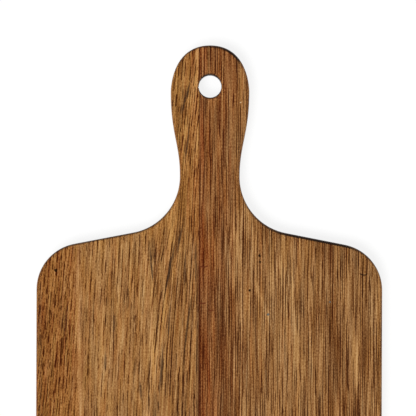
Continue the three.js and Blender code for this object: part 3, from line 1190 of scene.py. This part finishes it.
red = blend_in(
    tree, band_ramp(tree, across, LEFT_RED),
    (hue, LEFT_COLOUR.hue),
    (left.far_edge, LEFT_COLOUR.far_edge),
    (left.handle, LEFT_COLOUR.handle),
    (left.stripe, LEFT_COLOUR.stripe),
)
rich = calc(tree, "MAXIMUM", left.far_edge, left.handle)
grey = blend_in(
    tree, mix_value(tree, rich, LEFT_COLOUR.plain_grey, LEFT_COLOUR.rich_grey),
    (mottle, LEFT_COLOUR.mottle),
    (left.olive, LEFT_COLOUR.olive),
    (calc(tree, "MULTIPLY", left.dark_rows, left.near_joint), LEFT_COLOUR.grey_rows),
)
colour = use_group(tree, tone_group, left.tone, red, grey)["Color"]
colour = mix_colour(tree, calc(tree, "MULTIPLY", left.olive, OLIVE_COVER, clamp=True), colour, OLIVE)
finish_wood(left, paint_marks(left, colour, LEFT_MARKS))
left_wood.data.materials.append(left.material)

# %% [markdown]
# The right plank comes from nearer the heart of the log. It is red beside the joint, brown in the middle
# and striped at the outer edge, and its lines are close and straight. On the blade its bands fan out from
# the joint a little, and on the handle they run straight up, so each part reads its own list of bands.
# One list could serve both, but then the handle's stripes would have to be those of the blade's heart.

# %% Bands and masks of the right plank
RIGHT_SWAY = 2
FAN_FROM, FAN_TO, FAN = 30, 110, 0.0019
HEART = (6, 0)
BESIDE_HEART = (22, 4)
STRIPED_EDGE = (60, 75)

right = start_wood("brown_acacia", lean=-0.6)
tree = right.tree
right.handle = soft_step(tree, right.y, *HANDLE)
right.heart = soft_step(tree, right.x, *HEART)
right.edge = soft_step(tree, right.x, *STRIPED_EDGE)
right.even = calc(tree, "MAXIMUM", right.heart, right.handle)

sway = grain(right, Across=22, Along=90, Shift=13.1)
across = blend_in(tree, right.x, (sway, RIGHT_SWAY))
from_joint = calc(tree, "SUBTRACT", across, GLUE_RIGHT / MM)
up = calc(tree, "SUBTRACT", calc(tree, "MINIMUM", right.y, FAN_TO), FAN_FROM)
across = blend_in(tree, across, (from_joint, calc(tree, "MULTIPLY", up, FAN)))
blade_tone, handle_tone = band_ramp(tree, across, RIGHT_BANDS), band_ramp(tree, right.x, HANDLE_BANDS)
blade_red, handle_red = band_ramp(tree, across, RIGHT_RED), band_ramp(tree, right.x, HANDLE_RED)
right.band_tone = mix_value(tree, right.handle, blade_tone, handle_tone)
right.band_red = mix_value(tree, right.handle, blade_red, handle_red)
print("masks and bands of the right plank:", len(tree.nodes), "nodes")

# %% Rows of pores in the right plank
FAINTER_HEART = -0.35

rows = pores(right, right.place, Spacing=1.45, Width=0.22, Break=36, Shift=12.2, Gaps=0.4)
handle_rows = pores(right, right.place, Spacing=1.2, Width=0.24, Break=30, Shift=13.7, Gaps=0.4)
rows = mix_value(tree, right.handle, rows, handle_rows)
thin_rows = pores(right, right.place, Spacing=2.3, Width=0.15, Break=30, Shift=14.5)
dark_rows = calc(tree, "MAXIMUM", rows, thin_rows)
beside_heart = calc(tree, "SUBTRACT", soft_step(tree, right.x, *BESIDE_HEART), right.handle)
dark_rows = calc(tree, "MULTIPLY", dark_rows, calc(tree, "MULTIPLY_ADD", beside_heart, FAINTER_HEART, 1))
right.dark_rows = wall_rows(right, dark_rows, lean=-1.4, shift=18.7)
print("with its rows of pores:", len(tree.nodes), "nodes")

# %% Layers of the right plank
patch = grain(right, Across=8, Along=40, Shift=17.7)
streak = grain(right, Across=2.2, Along=60, Shift=11.3)
right.fibre = grain(right, Across=0.8, Along=40, Detail=2, Wander=3, Shift=15.9)
speckle = grain(right, Across=0.6, Along=1.2, Shift=19.4)
pale_rows = pores(right, right.place, Spacing=1.9, Width=0.15, Break=42, Shift=16.6)
hue = grain(right, Across=1.2, Along=60, Detail=2, Shift=18.2)
mottle = grain(right, Across=3, Along=35, Shift=10.6)
print("with its layers:", len(tree.nodes), "nodes")

# %% Tone of the right plank
RIGHT_TONE = SimpleNamespace(
    patch=0.09, streak=0.22, gentle_streak=0.06, dark_rows=-0.78, pale_rows=0.28, even_pale_rows=0.16,
    fibre=0.53, edge_fibre=0.72, speckle=0.3, all_over=0.12)

gentle = calc(tree, "MAXIMUM", right.even, right.edge)
tone = blend_in(
    tree, right.band_tone,
    (patch, RIGHT_TONE.patch),
    (streak, mix_value(tree, gentle, RIGHT_TONE.streak, RIGHT_TONE.gentle_streak)),
    (right.dark_rows, RIGHT_TONE.dark_rows),
    (pale_rows, mix_value(tree, right.even, RIGHT_TONE.pale_rows, RIGHT_TONE.even_pale_rows)),
    (right.fibre, mix_value(tree, right.edge, RIGHT_TONE.fibre, RIGHT_TONE.edge_fibre)),
    (speckle, RIGHT_TONE.speckle),
)
tone = calc(tree, "ADD", tone, RIGHT_TONE.all_over)
right.tone = add_streaks(right, tone, right.fibre, RIGHT_STREAKS)
print("with its tone:", len(tree.nodes), "nodes")

# %% Colour of the right plank
RIGHT_COLOUR = SimpleNamespace(hue=0.8, blade_grey=0.55, handle_grey=0.4, heart_grey=0.3, mottle=0.5)

red = blend_in(tree, right.band_red, (hue, RIGHT_COLOUR.hue))
grey = mix_value(tree, right.handle, RIGHT_COLOUR.blade_grey, RIGHT_COLOUR.handle_grey)
grey = mix_value(tree, right.heart, grey, RIGHT_COLOUR.heart_grey)
grey = blend_in(tree, grey, (mottle, RIGHT_COLOUR.mottle))
colour = use_group(tree, tone_group, right.tone, red, grey)["Color"]
finish_wood(right, paint_marks(right, colour, RIGHT_MARKS))
right_wood.data.materials.append(right.material)

# %% [markdown]
# Between the planks runs a film of dried glue, sanded flush. It is a quarter of a millimetre thick, and
# shows as a dark thread that is paler where the film ran thin. One layer of the grain group, short and
# broad, makes those flow marks, and sets colour, gloss and relief together: thick glue is dark and
# smooth, thin glue pale and dull.

# %% Glue
THICK_GLUE, THIN_GLUE = shade(66, 34, 14), shade(112, 66, 30)
THICK_ROUGH, THIN_ROUGH = 0.35, 0.5
FLOW_MARKS = (-0.4, 0.5)
FLOW_RELIEF = 0.2

glue, tree, shader = new_material("dried_glue")
place = use_group(tree, place_group, Lean=0)["Place"]
flow = use_group(tree, grain_group, place, Across=3, Along=14, Detail=2, Shift=21.7)["Swing"]
thin = soft_step(tree, flow, *FLOW_MARKS)
tree.links.new(mix_colour(tree, thin, THICK_GLUE, THIN_GLUE), shader.inputs["Base Color"])
tree.links.new(mix_value(tree, thin, THICK_ROUGH, THIN_ROUGH), shader.inputs["Roughness"])
bump = add_node(tree, "ShaderNodeBump", {
    "Strength": FLOW_RELIEF, "Distance": RELIEF_DEPTH, "Height": flow})
tree.links.new(bump.outputs["Normal"], shader.inputs["Normal"])
shader.inputs["Specular IOR Level"].default_value = OILED_SPECULAR
for film in (tip_film, main_film):
    film.data.materials.append(glue)
print(glue.name, len(tree.nodes), "nodes")

# %% [markdown]
# The board is seen from straight above and from far away, so that no wall shows on either side. The
# camera hangs two metres over the face, and its lens follows from how much of the board one pixel covers.
# A lens found by trial would do as well, but the reader couldn't tell where its number came from. The
# camera is rolled by a fifth of a degree, because the board isn't quite square to the picture.

# %% Camera
IMAGE_SIDE = 416
MM_PER_PIXEL = 0.6365
CAMERA_HEIGHT = 2.0
CAMERA_X, CAMERA_Y = -1.05 * MM, 116.5 * MM
CAMERA_ROLL = math.radians(0.2)
SENSOR = 36

bpy.ops.object.select_all(action="DESELECT")
bpy.ops.object.camera_add(location=(CAMERA_X, CAMERA_Y, cad_high.z - EDGE_RADIUS + CAMERA_HEIGHT),
                          rotation=(0, 0, CAMERA_ROLL))
camera = bpy.context.object
camera.data.sensor_width = SENSOR
camera.data.lens = SENSOR * CAMERA_HEIGHT / (IMAGE_SIDE * MM_PER_PIXEL * MM)
bpy.context.scene.camera = camera
print("lens in mm:", round(camera.data.lens, 1))

# %% [markdown]
# A white sheet lies under the board. White paint alone renders light grey under a plain light, so where
# the sheet is seen directly most of its white is a glow of its own, and the rest is paint that keeps the
# board's soft shadow. Light that bounces from the sheet to the board comes from paint alone, so the glow
# adds none.

# %% Floor
FLOOR_SIDE = 6
FLOOR_DROP = 0.2 * MM
BOUNCE_PAINT, SEEN_PAINT, SEEN_GLOW = (0.7, 0.7, 0.7, 1), (0.15, 0.15, 0.15, 1), 0.86


def seen_directly(tree):
    """1 for rays from the camera, a gloss or glass, and 0 for light that bounces round."""
    path = tree.nodes.new("ShaderNodeLightPath").outputs
    seen = calc(tree, "MAXIMUM", path["Is Camera Ray"], path["Is Glossy Ray"])
    return calc(tree, "MAXIMUM", seen, path["Is Transmission Ray"])


bpy.ops.object.select_all(action="DESELECT")
bpy.ops.mesh.primitive_plane_add(size=FLOOR_SIDE, location=(0, 0, cad_low.z - FLOOR_DROP))
floor = bpy.context.object
floor.name = "floor"

sheet, tree, shader = new_material("white_floor")
tree.nodes.remove(shader)
seen = seen_directly(tree)
paint = add_node(tree, "ShaderNodeBsdfDiffuse", {"Color": mix_colour(tree, seen, BOUNCE_PAINT, SEEN_PAINT)})
glow = add_node(tree, "ShaderNodeEmission", {"Strength": calc(tree, "MULTIPLY", seen, SEEN_GLOW)})
both = add_node(tree, "ShaderNodeAddShader", {0: paint.outputs[0], 1: glow.outputs[0]})
tree.links.new(both.outputs[0], tree.nodes["Material Output"].inputs["Surface"])
floor.data.materials.append(sheet)
print("floor:", FLOOR_SIDE, "m wide,", round(FLOOR_DROP / MM, 2), "mm under the board")

# %% [markdown]
# One wide lamp high up on the left and a plain white dome light the board, as in a studio with white
# walls. A wide lamp is chosen because a small one would cast a hard shadow. The lamp is hidden from
# reflections, since a satin face would show it as a grey veil over the grain, and for the same reason the
# dome is dark straight overhead where a reflection sees it.

# %% Lamp
KEY_FROM = Vector((-0.7, -0.8, 2.6))
KEY_STRENGTH = 2.67
KEY_ANGLE = math.radians(25)

bpy.ops.object.select_all(action="DESELECT")
bpy.ops.object.light_add(type="SUN", location=KEY_FROM,
                         rotation=KEY_FROM.to_track_quat("Z", "Y").to_euler())
key = bpy.context.object
key.name = "key"
key.data.energy = KEY_STRENGTH
key.data.angle = KEY_ANGLE
key.visible_glossy = False
print("lamp:", KEY_STRENGTH, "at", round(math.degrees(KEY_ANGLE)), "degrees across")

# %% Dome
DOME_LIGHT = 0.25
OVERHEAD, HORIZON = 0.75, 0.25
OVERHEAD_WHITE = 0.06

world = bpy.data.worlds.new("studio")
bpy.context.scene.world = world
world.use_nodes = True
tree = world.node_tree
dome = tree.nodes["Background"]
direction = tree.nodes.new("ShaderNodeTexCoord").outputs["Generated"]
white = soft_step(tree, axes_of(tree, direction)["Z"], OVERHEAD, HORIZON)
backdrop = mix_value(tree, white, OVERHEAD_WHITE, 1.0)
tree.links.new(mix_value(tree, seen_directly(tree), DOME_LIGHT, backdrop), dome.inputs["Strength"])
dome.inputs["Color"].default_value = (1, 1, 1, 1)
bpy.context.scene.view_settings.view_transform = "Standard"
print("dome:", DOME_LIGHT, "as light")
